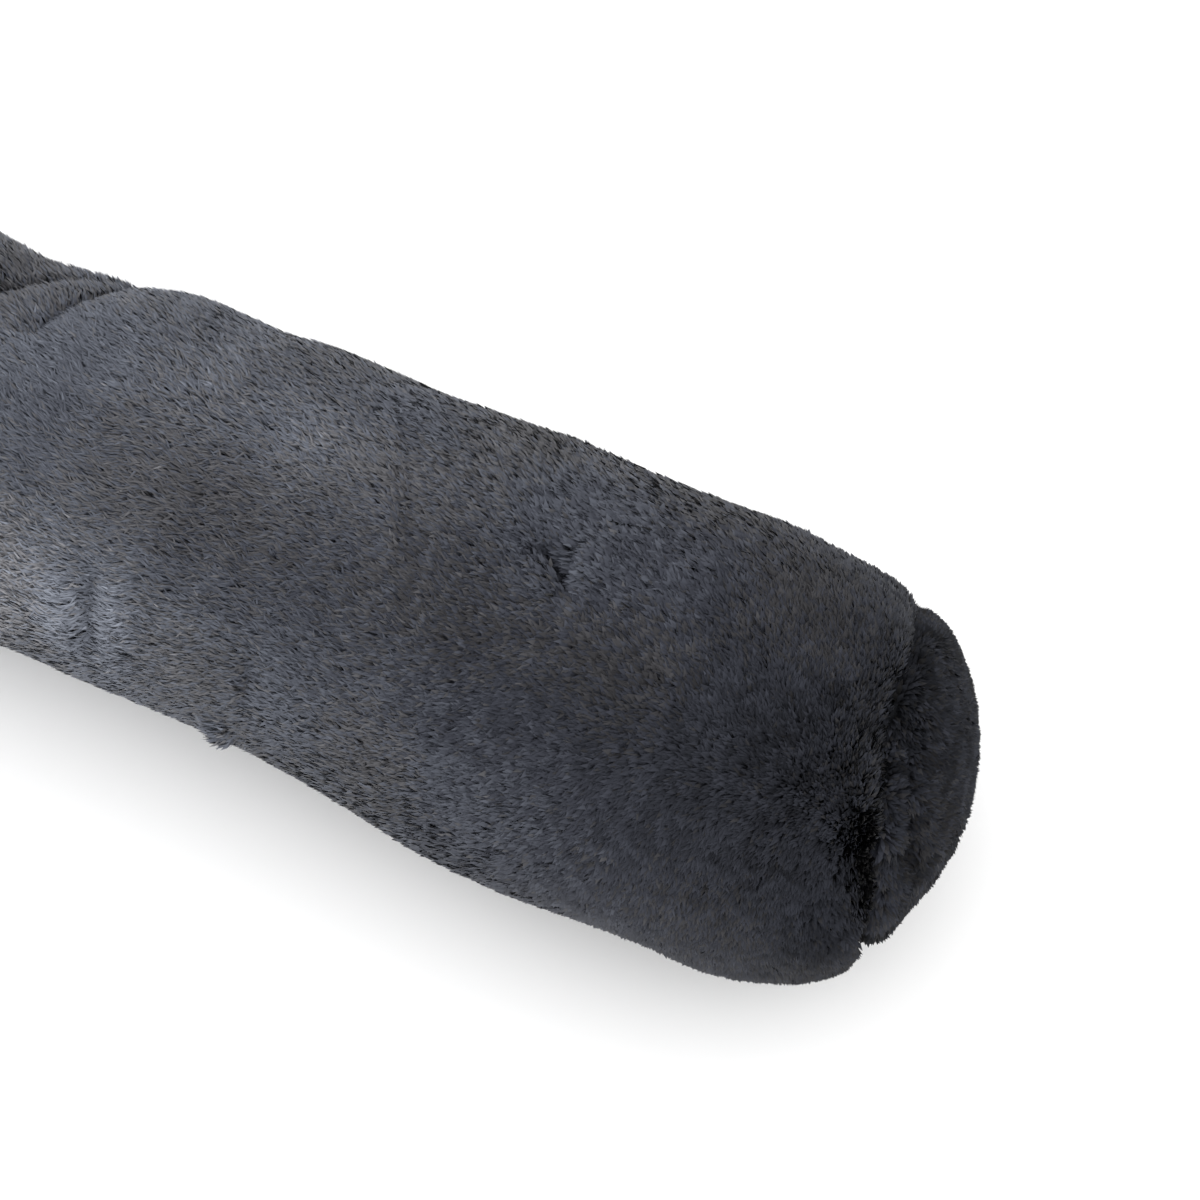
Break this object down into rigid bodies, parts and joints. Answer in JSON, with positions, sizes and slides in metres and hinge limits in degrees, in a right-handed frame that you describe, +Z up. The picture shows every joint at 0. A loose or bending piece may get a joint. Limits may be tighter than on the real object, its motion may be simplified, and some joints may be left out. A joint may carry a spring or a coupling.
{
  "type": "draught excluder",
  "caption": "Long stuffed tube of short dense plush with a round panel sewn into each end, to lie along the foot of a door.",
  "frame": {"origin": "middle of the tube, on the surface that it lies on", "axes": "+X along the tube towards the end that the picture shows, -Y towards the side that the picture shows, +Z up"},
  "size_m": [0.8998, 0.1598, 0.1409],
  "materials": {
    "body_plush": "short dense slate-grey plush, matt with a soft sheen",
    "end_plush": "the same slate-grey plush, its pile standing more upright"
  },
  "bodies": {
    "root": {"body_panel": "body_plush", "end_panel_near": "end_plush", "end_panel_far": "end_plush"}
  },
  "joints": []
}
